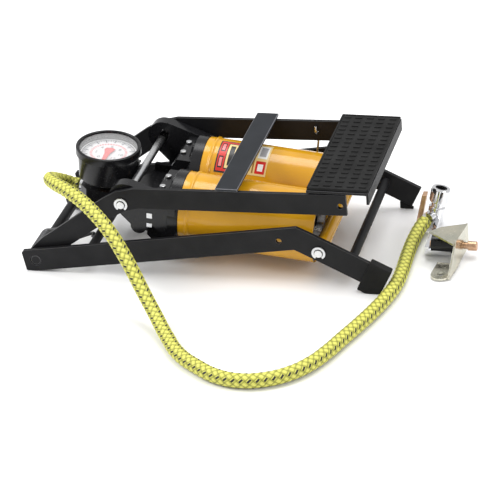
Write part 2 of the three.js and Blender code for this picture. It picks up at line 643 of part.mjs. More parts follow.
// The thumb lever, pressed from one sheet: a web over the cam, a flange on the pin, a holed thumb tab.
function chuckLever() {
  const web = slabZ(polygon([[302, -12], [323, -29], [327.8, 3], [310, -4]]), 22.4, 23.8);
  const turn = -0.141; // the flange runs out slightly from the line of the pump
  const outline = polygon([[0, 1.2], [20, 1.2], [30, 3], [44, 4], [46, 9], [46, 23.8], [18, 23.8], [9, 13],
    [0, 3]]);
  const flange = slabX(outline, 0, 1.5).rotateZ(turn).translate(320.6, -42, 0);
  const tabShape = new THREE.Shape();
  tabShape.absarc(314.5, -37, 7.3, Math.PI, Math.PI * 2, false);
  tabShape.lineTo(325, -20);
  tabShape.lineTo(309, -20);
  tabShape.closePath();
  const tab = slabZ(tabShape, 1.2, 2.6);
  const hole = barZ(2.4, 0, 10, 314.5, -37, 16);
  const pinHole = barX(2.8, 318, 332, ...LEVER_PIN, 20);
  return cut(join(web, flange, tab), hole, pinHole);
}

const group = new THREE.Group();
const shifted = new THREE.Group();
shifted.add(baseFrame(), pedalFrame(), pump(), hose(), chuck());
shifted.position.copy(ORIGIN).negate();
group.add(shifted);

export default group;
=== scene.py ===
"""A twin-barrel foot pump: hinged frames, paired barrels, dial gauge, braided hose and lever chuck."""
import math

import bmesh
import bpy
from mathutils import Matrix, Vector


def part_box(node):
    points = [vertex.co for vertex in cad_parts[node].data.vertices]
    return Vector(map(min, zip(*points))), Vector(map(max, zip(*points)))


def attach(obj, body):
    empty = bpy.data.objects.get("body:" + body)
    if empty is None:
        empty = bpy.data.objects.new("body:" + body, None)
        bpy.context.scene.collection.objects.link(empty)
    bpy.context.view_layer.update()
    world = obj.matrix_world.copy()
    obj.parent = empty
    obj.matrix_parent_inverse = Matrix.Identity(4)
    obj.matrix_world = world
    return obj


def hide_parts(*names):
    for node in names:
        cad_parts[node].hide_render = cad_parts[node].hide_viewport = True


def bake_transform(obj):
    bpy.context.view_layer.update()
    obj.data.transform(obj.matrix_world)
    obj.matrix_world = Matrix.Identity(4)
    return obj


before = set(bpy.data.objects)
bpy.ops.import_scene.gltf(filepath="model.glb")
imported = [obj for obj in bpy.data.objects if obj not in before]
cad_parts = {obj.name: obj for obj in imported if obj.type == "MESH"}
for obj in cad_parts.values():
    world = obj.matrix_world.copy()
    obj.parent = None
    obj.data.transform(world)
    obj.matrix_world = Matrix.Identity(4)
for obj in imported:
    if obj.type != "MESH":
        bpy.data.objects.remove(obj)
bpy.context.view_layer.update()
MM = 0.001


# Camera and light. The pump stands on a plain white floor under large soft lamps, and is seen
# from its hose side, a little above, with a long lens and a slight tilt.
def set_camera():
    turn, fall, roll = (math.radians(a) for a in (17.17, 29.42, -5.12))
    flat = math.cos(fall)
    forward = Vector((-math.sin(turn) * flat, math.cos(turn) * flat, -math.sin(fall)))
    level = Vector((math.cos(turn), math.sin(turn), 0))
    rise = level.cross(forward)
    across = level * math.cos(roll) + rise * math.sin(roll)
    upward = rise * math.cos(roll) - level * math.sin(roll)
    distance = 1.797
    place = Vector((17.2, 0, -8.7)) * MM - forward * distance
    camera = bpy.data.objects.new("camera", bpy.data.cameras.new("camera"))
    bpy.context.scene.collection.objects.link(camera)
    camera.data.lens = 168.7
    camera.data.sensor_width = 36
    camera.data.clip_end = 30
    camera.matrix_world = Matrix((
        (across.x, upward.x, -forward.x, place.x),
        (across.y, upward.y, -forward.y, place.y),
        (across.z, upward.z, -forward.z, place.z),
        (0, 0, 0, 1),
    ))
    bpy.context.scene.camera = camera


def softbox(name, place, target, size, watts):
    lamp = bpy.data.lights.new(name, "AREA")
    lamp.shape = "RECTANGLE"
    lamp.size, lamp.size_y = size
    lamp.energy = watts
    holder = bpy.data.objects.new(name, lamp)
    bpy.context.scene.collection.objects.link(holder)
    aim = (Vector(target) - Vector(place)).to_track_quat("-Z", "Y")
    holder.matrix_world = Matrix.Translation(place) @ aim.to_matrix().to_4x4()


def set_studio():
    world = bpy.data.worlds.new("studio")
    world.use_nodes = True
    background = world.node_tree.nodes["Background"]
    background.inputs["Color"].default_value = (1, 1, 1, 1)
    background.inputs["Strength"].default_value = 0.75
    bpy.context.scene.world = world
    softbox("lamp_left", (-1.3, -0.5, 1.5), (0, 0, 0), (1.2, 0.9), 26)
    softbox("lamp_top", (0.3, 0.5, 1.9), (0.05, 0, 0), (1.6, 1.0), 24)
    softbox("lamp_right", (1.6, -0.7, 0.9), (0.05, 0, 0), (0.8, 0.8), 9)
    bpy.context.scene.view_settings.view_transform = "Standard"


def lay_floor():
    mesh = bmesh.new()
    bmesh.ops.create_grid(mesh, x_segments=1, y_segments=1, size=6)
    data = bpy.data.meshes.new("floor")
    mesh.to_mesh(data)
    mesh.free()
    floor = bpy.data.objects.new("floor", data)
    bpy.context.scene.collection.objects.link(floor)
    material = bpy.data.materials.new("floor_white")
    material.use_nodes = True
    surface = material.node_tree.nodes["Principled BSDF"]
    surface.inputs["Base Color"].default_value = (0.93, 0.93, 0.935, 1)
    surface.inputs["Roughness"].default_value = 0.22
    data.materials.append(material)


set_camera()
set_studio()
lay_floor()


# Hose: a rubber air hose in a woven yellow-green sleeve with black tracer yarns, 11 mm across.
# It leaves the manifold's barb, loops over the near arms and lies on the floor round to the chuck.
HOSE_ROUTE = [
    (26.2, 0, 40.5), (21.5, 0, 41.4), (15.6, -5.1, 46.3), (12, -16.3, 53.6), (15.6, -30.2, 60.3),
    (25.3, -44.7, 64.7), (38.4, -56.8, 66.5), (53.9, -69.4, 65.4), (68.4, -81.8, 61.7),
    (82, -93, 54.5), (94, -103.5, 44), (104, -112.5, 33), (113.5, -122, 22.5), (124.5, -134, 13),
    (138.5, -153.5, 7.3), (153.5, -173.5, 5.6), (171.5, -188.3, 5.6), (188, -198, 5.6),
    (205, -201.3, 5.6), (221, -198, 5.6), (236, -189, 5.6), (248, -175, 5.6), (256.5, -158, 5.6),
    (263.5, -139, 5.6), (271.3, -118, 5.6),
    (278.2, -97, 5.6), (283.2, -78, 5.6), (286.2, -60, 5.6), (286.8, -42, 5.6), (286.2, -24, 5.6),
    (286, -6, 5.8), (286.8, 11, 6.6), (288.3, 21.5, 7.6), (290.2, 29, 8.3),
]
HOSE_SPLIT = 200  # along the pump, where the bending lead meets the run that stays on the floor
ORIGIN_X = 141.7  # the row's origin, measured from the heel end


def at(x, y, z):
    """A place given in millimetres from the heel end of the pump, in the row's metres."""
    return Vector(((x - ORIGIN_X) * MM, y * MM, z * MM))


def smooth_curve(name, points, radius, resolution, sides):
    curve = bpy.data.curves.new(name, "CURVE")
    curve.dimensions = "3D"
    curve.bevel_depth = radius
    curve.bevel_resolution = sides // 2 - 2
    curve.use_fill_caps = False
    spline = curve.splines.new("BEZIER")
    spline.bezier_points.add(len(points) - 1)
    for knot, point in zip(spline.bezier_points, points):
        knot.co = point
        knot.handle_left_type = knot.handle_right_type = "AUTO"
    spline.resolution_u = resolution
    return curve


def mesh_of_curve(curve):
    """The curve's surface as a mesh at the origin; its UV map runs round and along."""
    holder = bpy.data.objects.new("holder", curve)
    bpy.context.scene.collection.objects.link(holder)
    bpy.context.view_layer.update()
    graph = bpy.context.evaluated_depsgraph_get()
    made = bpy.data.meshes.new_from_object(holder.evaluated_get(graph), preserve_all_data_layers=True,
                                           depsgraph=graph)
    bpy.data.objects.remove(holder)
    return made


def new_material(name, color, roughness, metallic=0.0):
    material = bpy.data.materials.new(name)
    material.use_nodes = True
    surface = material.node_tree.nodes["Principled BSDF"]
    surface.inputs["Base Color"].default_value = (*color, 1)
    surface.inputs["Roughness"].default_value = roughness
    surface.inputs["Metallic"].default_value = metallic
    return material


def add_node(material, kind, inputs=(), **settings):
    """A new shader node. inputs maps a socket's name or number to a value or another node's socket."""
    node = material.node_tree.nodes.new(kind)
    for key, value in settings.items():
        setattr(node, key, value)
    for key, value in dict(inputs).items():
        if isinstance(value, bpy.types.NodeSocket):
            material.node_tree.links.new(value, node.inputs[key])
        else:
            node.inputs[key].default_value = value
    return node


def maths(material, operation, a, b=0.0, c=0.0, clamp=False):
    inputs = {0: a, 1: b, 2: c}
    return add_node(material, "ShaderNodeMath", inputs, operation=operation, use_clamp=clamp).outputs[0]


def mixed(material, amount, low, high):
    """A colour between low and high, each a tuple of three or a socket."""
    low, high = (c if isinstance(c, bpy.types.NodeSocket) else (*c, 1) for c in (low, high))
    inputs = {0: amount, 6: low, 7: high}
    return add_node(material, "ShaderNodeMix", inputs, data_type="RGBA").outputs[2]


def feed(material, socket, value):
    surface = material.node_tree.nodes["Principled BSDF"]
    material.node_tree.links.new(value, surface.inputs[socket])


BRAID_ROUND = 6  # yarn bundles round the hose, each way
BRAID_PITCH = 5.3 * MM  # along the hose, between two black tracers
BRAID_LIFT = 0.55 * MM
TRACER_ROWS = 4
TRACER_HALF_WIDTH = 0.19  # shares of a yarn's crossing
TRACER_HALF_LENGTH = 0.42
HOSE_RADIUS = 5.2 * MM


def yarn_height(turns, run):
    """Height of the weave, from 0 in a groove to 1, at a place round the hose in turns and along it."""
    a = turns * BRAID_ROUND + run / BRAID_PITCH
    b = turns * BRAID_ROUND - run / BRAID_PITCH
    over_a = (math.floor(a) + math.floor(b)) % 2 == 0
    across, runs = (a % 1, b % 1) if over_a else (b % 1, a % 1)
    return math.sin(math.pi * across) ** 0.6 * (0.45 + 0.55 * math.sin(math.pi * runs))


def weave(data, radius):
    """Lifts a smooth tube into yarns, and sets its UV map to turns round it and metres along it.
    Returns the tube's centreline."""
    uvs = data.uv_layers["UVMap"].data
    spot = {}
    for loop in data.loops:
        spot.setdefault(loop.vertex_index, tuple(uvs[loop.index].uv))
    rings = {}
    for index, (along, _) in spot.items():
        rings.setdefault(round(along, 6), []).append(index)
    order = sorted(rings)
    middle = {k: sum((data.vertices[i].co for i in rings[k]), Vector()) / len(rings[k]) for k in order}
    run = {order[0]: 0.0}
    for before, after in zip(order, order[1:]):
        run[after] = run[before] + (middle[after] - middle[before]).length
    for index, (along, turns) in spot.items():
        key = round(along, 6)
        out = (data.vertices[index].co - middle[key]).normalized()
        lift = (yarn_height(turns, run[key]) - 0.7) * BRAID_LIFT
        data.vertices[index].co = middle[key] + out * (radius + lift)
    for loop in data.loops:
        along, turns = uvs[loop.index].uv
        uvs[loop.index].uv = (turns, run[round(along, 6)])
    return [(tuple(middle[k]), run[k]) for k in order]


def braid_material():
    material = new_material("hose_braid", (0.7, 0.68, 0.07), 0.62)
    uv = add_node(material, "ShaderNodeUVMap", uv_map="UVMap").outputs[0]
    parts = add_node(material, "ShaderNodeSeparateXYZ", {0: uv})
    turns = maths(material, "MULTIPLY", parts.outputs[0], BRAID_ROUND)
    rows = maths(material, "DIVIDE", parts.outputs[1], BRAID_PITCH)
    a = maths(material, "ADD", turns, rows)
    b = maths(material, "SUBTRACT", turns, rows)
    fa = maths(material, "FRACT", a)
    fb = maths(material, "FRACT", b)
    total = maths(material, "ADD", maths(material, "FLOOR", a), maths(material, "FLOOR", b))
    spacing = 2 * BRAID_ROUND / TRACER_ROWS
    on_row = maths(material, "LESS_THAN", maths(material, "PINGPONG", total, spacing / 2), 0.25)
    odd = maths(material, "PINGPONG", total, 1.0)
    across = add_node(material, "ShaderNodeMix", {0: odd, 2: fa, 3: fb}).outputs[0]
    along = add_node(material, "ShaderNodeMix", {0: odd, 2: fb, 3: fa}).outputs[0]
    wide = maths(material, "ABSOLUTE", maths(material, "SUBTRACT", across, 0.5))
    tall = maths(material, "ABSOLUTE", maths(material, "SUBTRACT", along, 0.5))
    inside = maths(material, "MULTIPLY", maths(material, "LESS_THAN", wide, TRACER_HALF_WIDTH),
                   maths(material, "LESS_THAN", tall, TRACER_HALF_LENGTH))
    tracer = maths(material, "MULTIPLY", on_row, inside)
    strands = maths(material, "SINE", maths(material, "MULTIPLY", across, 8 * math.pi))
    dark = maths(material, "MULTIPLY_ADD", strands, 0.16, 0.16)
    # The grooves between yarns and the ends where a yarn dives under the next are darkened toward
    # olive: painted shade, added to the fibre lines of each yarn.
    groove = maths(material, "POWER", maths(material, "MULTIPLY", wide, 2.0), 2.5)
    dive_shade = maths(material, "POWER", maths(material, "MULTIPLY", tall, 2.0), 4.0)
    strand_and_groove_shade = maths(material, "ADD", dark, groove)
    shade = maths(material, "ADD", strand_and_groove_shade, maths(material, "MULTIPLY", dive_shade, 0.6), clamp=True)
    # Yarn yellow shaded toward olive by the fibre lines and the painted shade in the weave's grooves.
    yellow = mixed(material, shade, (0.74, 0.72, 0.14), (0.24, 0.24, 0.03))
    feed(material, "Base Color", mixed(material, tracer, yellow, (0.012, 0.012, 0.012)))
    return material


def hose_part(whole, name, material, keep):
    """The part of the woven tube whose run along the hose keep() accepts, with its ends closed."""
    mesh = bmesh.new()
    mesh.from_mesh(whole)
    uv = mesh.loops.layers.uv.active
    lost = [f for f in mesh.faces if not keep(sum(loop[uv].uv.y for loop in f.loops) / len(f.loops))]
    bmesh.ops.delete(mesh, geom=lost, context="FACES")
    bmesh.ops.holes_fill(mesh, edges=[e for e in mesh.edges if e.is_boundary])
    data = bpy.data.meshes.new(name)
    mesh.to_mesh(data)
    mesh.free()
    data.shade_smooth()
    data.materials.append(material)
    piece = bpy.data.objects.new(name, data)
    bpy.context.scene.collection.objects.link(piece)
    return piece


def make_hose():
    """Weaves the whole hose and cuts it in two. Returns its run, with the run's path and length."""
    curve = smooth_curve("hose_line", [at(*p) for p in HOSE_ROUTE], HOSE_RADIUS, 30, 48)
    data = mesh_of_curve(curve)
    line = weave(data, HOSE_RADIUS)
    split = next(i for i, (point, _) in enumerate(line) if point[0] > at(HOSE_SPLIT, 0, 0).x)
    cut, end = line[split][1], line[-1][1]
    material = braid_material()
    lead = hose_part(data, "hose_lead_braided", material, lambda run: run < cut)
    run = hose_part(data, "hose_run_braided", material, lambda run: run > cut)
    bpy.data.meshes.remove(data)
    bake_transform(lead)
    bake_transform(run)
    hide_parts("hose_lead")
    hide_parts("hose_run")
    points = [point for point, _ in line]
    return run, points[split:], round(end - cut, 3)


hose_run, hose_run_path, hose_run_length = make_hose()


# Frame arms, shafts and pedal plate: flat bar and round bar in black powder coat, with a fine
# texture and corners that the coat rounds off; the rounded corners are painted lighter, partly as wear
# and partly as a painted highlight.
def surface(name, low, high, metallic=0, rough=(0.3, 0.4), grain=1000, depth=0.00001, blotch=60,
            stretch=(1, 1, 1), coat=0.0, edge_wear_and_highlight=None, shine=0.5):
    """A material whose colour drifts from low to high, with fine grain in its roughness and relief.
    grain and blotch are the noises' scales, and the edge colour, when given, paints the rounded edges
    lighter, partly as wear and partly as a painted highlight."""
    material = new_material(name, low, rough[0], metallic)
    here = add_node(material, "ShaderNodeTexCoord").outputs["Object"]
    run = add_node(material, "ShaderNodeMapping", {0: here, 3: stretch}).outputs[0]
    drift = add_node(material, "ShaderNodeTexNoise", {0: here, 2: blotch, 3: 3}).outputs[0]
    wide = add_node(material, "ShaderNodeMapRange", {0: drift, 1: 0.3, 2: 0.7}).outputs[0]
    color = mixed(material, wide, low, high)
    fine = add_node(material, "ShaderNodeTexNoise", {0: run, 2: grain, 3: 4}).outputs[0]
    limits = {0: fine, 1: 0.3, 2: 0.7, 3: rough[0], 4: rough[1]}
    span = add_node(material, "ShaderNodeMapRange", limits).outputs[0]
    # Lighter rounded edges: partly wear, partly a painted highlight where the bevels would catch the
    # lamps.
    if edge_wear_and_highlight:
        edge = add_node(material, "ShaderNodeAttribute", attribute_name="edge").outputs["Fac"]
        color = mixed(material, maths(material, "MULTIPLY", edge, fine), color, edge_wear_and_highlight)
    relief = add_node(material, "ShaderNodeBump", {"Strength": 0.8, "Distance": depth, "Height": fine})
    feed(material, "Base Color", color)
    feed(material, "Roughness", span)
    feed(material, "Normal", relief.outputs[0])
    shader = material.node_tree.nodes["Principled BSDF"]
    shader.inputs["Coat Weight"].default_value = coat
    shader.inputs["Specular IOR Level"].default_value = shine
    return material


def shown(name, mesh, material, slot, body, *nodes):
    """Turns a bmesh into a finished piece with clean normals, on a body, in place of CAD nodes."""
    data = bpy.data.meshes.new(name)
    mesh.to_mesh(data)
    mesh.free()
    data.shade_smooth()
    data.set_sharp_from_angle(angle=math.radians(32))
    data.materials.append(material)
    piece = bpy.data.objects.new(name, data)
    bpy.context.scene.collection.objects.link(piece)
    even = piece.modifiers.new("even_normals", "WEIGHTED_NORMAL")
    even.keep_sharp = True
    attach(piece, body)
    if nodes:
        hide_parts(*nodes)
    return piece


def round_edges(mesh, width):
    """Bevels the sharp edges, and marks the new faces in the edge attribute."""
    edge = mesh.faces.layers.float.new("edge")
    sharp = [e for e in mesh.edges if e.is_manifold and e.calc_face_angle(0) > math.radians(31)]
    made = bmesh.ops.bevel(mesh, geom=sharp, offset=width, affect="EDGES", segments=2, profile=0.5,
                           material=-1, clamp_overlap=True)
    for face in made["faces"]:
        face[edge] = 1


def softened(node, material, slot, body, width):
    """A CAD node's shape with its sharp edges rounded by a width in millimetres."""
    mesh = bmesh.new()
    mesh.from_mesh(bpy.data.objects[node].data)
    bmesh.ops.remove_doubles(mesh, verts=mesh.verts, dist=1e-6)
    bmesh.ops.dissolve_limit(mesh, angle_limit=math.radians(1), verts=mesh.verts, edges=mesh.edges)
    round_edges(mesh, width * MM)
    return shown(node + "_finished", mesh, material, slot, body, node)


POWDER_BLACK = surface("powder_black", (0.005, 0.005, 0.006), (0.010, 0.010, 0.011), rough=(0.4, 0.55),
                       grain=1400, depth=0.00003, edge_wear_and_highlight=(0.16, 0.16, 0.165), shine=0.2)
for node, body, width in (
        ("base_arm_near", "base", 0.45), ("base_arm_far", "base", 0.45), ("stay_rod", "base", 0.3),
        ("heel_shaft", "base", 0.6), ("foot_tie_rod", "base", 0.3),
        ("pedal_arm_near", "pedal_frame", 0.45), ("pedal_arm_far", "pedal_frame", 0.45),
        ("pedal_plate", "pedal_frame", 0.5)):
    softened(node, POWDER_BLACK, "frame_black", body, width)
# The strap's rounded edges are painted much lighter: partly wear, partly a painted highlight.
STRAP_GREY = surface("strap_grey", (0.008, 0.010, 0.013), (0.013, 0.015, 0.019), rough=(0.38, 0.52),
                     grain=1400, depth=0.00003, edge_wear_and_highlight=(0.25, 0.25, 0.27), shine=0.2)
softened("cross_strap", STRAP_GREY, "strap_grey", "pedal_frame", 0.5)


# Barrels: two enamelled yellow tubes with a rolled bead at the head end, and the yellow tube that
# joins the piston rods. All of the pump shares one axis system, tilted about the rod axle, with x
# along the barrels and z up through the gauge.
PUMP_TILT = Matrix.Rotation(math.radians(6), 4, "Y")
PUMP = Matrix.Translation(at(231, 0, 31)) @ PUMP_TILT @ Matrix.Scale(MM, 4)
BARREL_Y = 28.5


def turned(profile, place, steps=96, axis="X"):
    """A closed profile of (along, radius) spun round the x or z axis, then put in place by a matrix."""
    mesh = bmesh.new()
    verts = [mesh.verts.new((x, 0, r) if axis == "X" else (r, 0, x)) for x, r in profile]
    edges = [mesh.edges.new((v, verts[(i + 1) % len(verts)])) for i, v in enumerate(verts)]
    direction = (1, 0, 0) if axis == "X" else (0, 0, 1)
    bmesh.ops.spin(mesh, geom=verts + edges, cent=(0, 0, 0), axis=direction, angle=2 * math.pi,
                   steps=steps, use_merge=True)
    bmesh.ops.remove_doubles(mesh, verts=mesh.verts, dist=1e-4)
    thin = [e for e in mesh.edges if e.calc_length() < 1e-5]
    bmesh.ops.dissolve_degenerate(mesh, dist=1e-5, edges=thin)
    bmesh.ops.recalc_face_normals(mesh, faces=mesh.faces)
    mesh.transform(place)
    return mesh


YELLOW = surface("barrel_enamel", (0.56, 0.27, 0.006), (0.67, 0.34, 0.012), rough=(0.16, 0.26),
                 grain=260, blotch=25, coat=0.3, shine=0.4)
BARREL_BORE = [(-110, 25.8), (-9, 25.8)]
BARREL_LIP = [(-8, 26.1), (-7.5, 26.5), (-8, 26.9), (-9, 27)]
BARREL_BEAD = [(-101.6, 27), (-102.2, 27.25), (-102.8, 27.8), (-103.5, 28), (-104.2, 27.8),
               (-104.8, 27.25), (-105.4, 27), (-110, 27)]
for word, side in (("near", -1), ("far", 1)):
    wall = BARREL_BORE + BARREL_LIP + BARREL_BEAD
    place = PUMP @ Matrix.Translation((0, side * BARREL_Y, 0))
    shown(f"barrel_{word}_enamelled", turned(wall, place, 128), YELLOW, "barrel_yellow", "cylinders",
          f"barrel_{word}")
softened("cross_tube", YELLOW, "barrel_yellow", "pistons", 0.5)


# Heads and manifold: glossy black mouldings with rounded corners and steps. With them come the
# bright plated parts: shafts and their clips, the heads' screws, and two small bright plates on the
# near lug that are painted highlights.
# The mouldings' rounded edges are painted a little lighter: partly wear, partly a painted highlight.
GLOSS_BLACK = surface("moulded_black", (0.005, 0.005, 0.006), (0.009, 0.009, 0.010), rough=(0.2, 0.28),
                      grain=500, depth=0.000006, blotch=40, edge_wear_and_highlight=(0.03, 0.03, 0.03), shine=0.35)
for node in ("head_near", "head_far", "air_manifold"):
    softened(node, GLOSS_BLACK, "black_plastic", "cylinders", 0.8)
for word, side in (("near", -1), ("far", 1)):
    softened(f"rod_guide_{word}", GLOSS_BLACK, "black_plastic", "cylinders", 0.4)
STEEL = surface("bright_zinc", (0.55, 0.56, 0.58), (0.68, 0.68, 0.67), metallic=1, rough=(0.22, 0.36),
                grain=300, depth=0.00002, blotch=90, stretch=(1, 6, 1))
for node, body in (
        ("axle_clip_near", "base"), ("axle_clip_far", "base"), ("head_shaft_clip_near", "pedal_frame"),
        ("head_shaft_clip_far", "pedal_frame"), ("rod_axle", "base"), ("head_shaft", "pedal_frame")):
    softened(node, STEEL, "steel", body, 0.35)


def inlay(name, spans, material, slot, body):
    """A small rounded plate in the pump frame, between pairs of limits along x, y and z."""
    mesh = bmesh.new()
    for vert in bmesh.ops.create_cube(mesh, size=1)["verts"]:
        vert.co = [low + (high - low) * (c + 0.5) for c, (low, high) in zip(vert.co, spans)]
    bmesh.ops.bevel(mesh, geom=mesh.edges[:], offset=0.12, affect="EDGES", segments=2, profile=0.5,
                    material=-1)
    mesh.transform(PUMP)
    shown(name, mesh, material, slot, body)


# Two bright steel plates on the near lug's outer face: painted highlights standing for glints on the
# lug.
LUG_FACE = (-55.9, -55.3)
for name, heights in (("upper", (1.4, 5.6)), ("lower", (-6.2, -2.9))):
    spans = ((-133.6, -129.4), LUG_FACE, heights)
    inlay(f"lug_painted_highlight_{name}", spans, STEEL, "steel", "cylinders")
for number in range(1, 5):
    softened(f"head_screw_{number}", STEEL, "steel", "cylinders", 0.5)


# Gauge: a black plastic case with a stepped rim, a clear lens, and a white card dial with a printed
# scale and a red pointer. It stands on the manifold, by the heads.
GAUGE_X = -180.6
GAUGE = PUMP @ Matrix.Translation((GAUGE_X, 0, 0))
CASE_FOOT, RIM = 1.2, 26.5
CASE_WALL = [(CASE_FOOT, 5), (CASE_FOOT, 21.8), (CASE_FOOT + 0.8, 22.6), (RIM - 6, 23.4),
             (RIM - 1.4, 23.8), (RIM - 1.4, 22.3), (CASE_FOOT + 1.5, 21), (CASE_FOOT + 1.5, 5)]
BEZEL_WALL = [(RIM - 6, 24.2), (RIM - 6, 24.7), (RIM - 5.6, 25), (RIM - 1, 25), (RIM - 0.3, 24.7),
              (RIM, 24.1), (RIM, 23.1), (RIM - 0.3, 22.7), (RIM - 1, 22.6), (RIM - 1, 24.2)]
LENS_WALL = [(RIM - 2.6, 0), (RIM - 2.6, 22), (RIM - 1.6, 22), (RIM - 1.4, 14), (RIM - 1.3, 0)]
shown("gauge_case_turned", turned(CASE_WALL, GAUGE, 96, "Z"), GLOSS_BLACK, "black_plastic",
      "cylinders", "gauge_case")
shown("gauge_bezel_turned", turned(BEZEL_WALL, GAUGE, 96, "Z"), GLOSS_BLACK, "black_plastic",
      "cylinders", "gauge_bezel")
CLEAR = new_material("clear_lens", (1, 1, 1), 0.04)
lens_place = add_node(CLEAR, "ShaderNodeTexCoord").outputs["Object"]
lens_haze = add_node(CLEAR, "ShaderNodeTexNoise", {0: lens_place, 2: 120}).outputs[0]
lens_rough = add_node(CLEAR, "ShaderNodeMapRange", {0: lens_haze, 3: 0.02, 4: 0.09}).outputs[0]
feed(CLEAR, "Roughness", lens_rough)
CLEAR.node_tree.nodes["Principled BSDF"].inputs["Alpha"].default_value = 0.12
shown("gauge_lens_turned", turned(LENS_WALL, GAUGE, 96, "Z"), CLEAR, "lens", "cylinders", "gauge_lens")
DIAL_TOP = RIM - 6.7


def dial_material():
    """White card, with its scale printed by angle and radius. The dial's UV map is in millimetres."""
    material = new_material("dial_card", (0.85, 0.85, 0.83), 0.4)
    uv = add_node(material, "ShaderNodeUVMap", uv_map="UVMap").outputs[0]
    parts = add_node(material, "ShaderNodeSeparateXYZ", {0: uv})
    x, y = parts.outputs[0], parts.outputs[1]
    squares = [maths(material, "MULTIPLY", side, side) for side in (x, y)]
    radius = maths(material, "SQRT", maths(material, "ADD", *squares))
    turn = maths(material, "DIVIDE", maths(material, "ARCTAN2", y, x), 2 * math.pi)

    def band(low, high):
        return maths(material, "MULTIPLY", maths(material, "GREATER_THAN", radius, low),
                     maths(material, "LESS_THAN", radius, high))

    def ticks(count, width):
        part = maths(material, "FRACT", maths(material, "MULTIPLY_ADD", turn, count, 0.5))
        off = maths(material, "ABSOLUTE", maths(material, "SUBTRACT", part, 0.5))
        return maths(material, "LESS_THAN", off, width)

    fine = maths(material, "MULTIPLY", band(17.6, 20.2), ticks(64, 0.2))
    major = maths(material, "MULTIPLY", band(16.0, 20.2), ticks(16, 0.09))
    ring = band(20.0, 20.6)
    inner = maths(material, "MULTIPLY", band(12.4, 14.4), ticks(40, 0.24))
    from_gap = maths(material, "ABSOLUTE", maths(material, "ADD", turn, 0.25))
    scale = maths(material, "GREATER_THAN", from_gap, 0.07)
    marks = maths(material, "ADD", maths(material, "ADD", fine, major, clamp=True), ring, clamp=True)
    grey = maths(material, "MULTIPLY", marks, scale)
    red = maths(material, "MULTIPLY", inner, scale)
    card = mixed(material, grey, (0.60, 0.60, 0.61), (0.05, 0.05, 0.06))
    feed(material, "Base Color", mixed(material, red, card, (0.55, 0.03, 0.03)))
    return material


dial_mesh = turned([(DIAL_TOP - 0.6, 0), (DIAL_TOP - 0.6, 21.7), (DIAL_TOP, 21.7), (DIAL_TOP, 0)],
                   Matrix.Identity(4), 96, "Z")
dial_uv = dial_mesh.loops.layers.uv.new("UVMap")
for face in dial_mesh.faces:
    for loop in face.loops:
        loop[dial_uv].uv = loop.vert.co.xy
dial_mesh.transform(GAUGE)
shown("gauge_dial_printed", dial_mesh, dial_material(), "dial", "cylinders", "gauge_dial")
INK = surface("dial_ink", (0.02, 0.02, 0.022), (0.035, 0.035, 0.04), rough=(0.4, 0.5), grain=900)
FIRST_NUMBER, NUMBER_STEP = -126, -48  # degrees
for number in range(7):
    text = bpy.data.curves.new(f"scale_number_{number}", "FONT")
    text.body = str(number * 2)
    text.size = 4.6
    text.align_x, text.align_y = "CENTER", "CENTER"
    text.extrude = 0.03
    holder = bpy.data.objects.new("scale_number", text)
    bpy.context.scene.collection.objects.link(holder)
    bpy.context.view_layer.update()
    graph = bpy.context.evaluated_depsgraph_get()
    printed = bpy.data.meshes.new_from_object(holder.evaluated_get(graph))
    bpy.data.objects.remove(holder)
    mesh = bmesh.new()
    mesh.from_mesh(printed)
    bpy.data.meshes.remove(printed)
    angle = math.radians(FIRST_NUMBER + number * NUMBER_STEP)
    spot = (9.6 * math.cos(angle), 9.6 * math.sin(angle), DIAL_TOP + 0.05)
    mesh.transform(GAUGE @ Matrix.Translation(spot))
    shown(f"scale_number_{number}", mesh, INK, "needle_red", "cylinders")
RED = surface("pointer_red", (0.50, 0.02, 0.02), (0.6, 0.035, 0.03), grain=800)
softened("gauge_needle", RED, "needle_red", "needle", 0.1)


# Pedal pad: black rubber with rows of small raised dashes inside a low border. The near foot's
# boot and the far foot's pad are of the same rubber.
def make_pad():
    low, high = (Vector(corner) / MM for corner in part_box("pedal_pad"))
    mesh = bmesh.new()

    def slab(x0, x1, y0, y1, z0, z1, width):
        made = bmesh.ops.create_cube(mesh, size=1)["verts"]
        for vert in made:
            vert.co = (x0 + (x1 - x0) * (vert.co.x + 0.5), y0 + (y1 - y0) * (vert.co.y + 0.5),
                       z0 + (z1 - z0) * (vert.co.z + 0.5))
        edges = list({e for v in made for e in v.link_edges})
        bmesh.ops.bevel(mesh, geom=edges, offset=width, affect="EDGES", segments=2, profile=0.5,
                        material=-1)

    top = high.z - 0.7
    slab(low.x, high.x, low.y, high.y, low.z, top, 0.6)
    columns, rows = 5, 17
    for i in range(columns):
        for j in range(rows):
            x = low.x + 5.2 + (high.x - low.x - 10.4) * i / (columns - 1)
            y = low.y + 5 + (high.y - low.y - 10) * j / (rows - 1)
            slab(x - 2.6, x + 2.6, y - 1.1, y + 1.1, top - 0.4, high.z, 0.35)
    border = 1.4
    for x0, x1, y0, y1 in (
            (low.x, high.x, low.y, low.y + border), (low.x, high.x, high.y - border, high.y),
            (low.x, low.x + border, low.y, high.y), (high.x - border, high.x, low.y, high.y)):
        slab(x0, x1, y0, y1, top - 0.4, high.z - 0.2, 0.4)
    mesh.transform(Matrix.Scale(MM, 4))
    return mesh


RUBBER = surface("black_rubber", (0.008, 0.008, 0.008), (0.015, 0.015, 0.015), rough=(0.5, 0.68),
                 grain=1100, depth=0.00005, shine=0.12)
shown("pedal_pad_ribbed", make_pad(), RUBBER, "black_rubber", "pedal_frame", "pedal_pad")
for node in ("foot_boot_near", "foot_pad_far"):
    softened(node, RUBBER, "black_rubber", "base", 0.8)
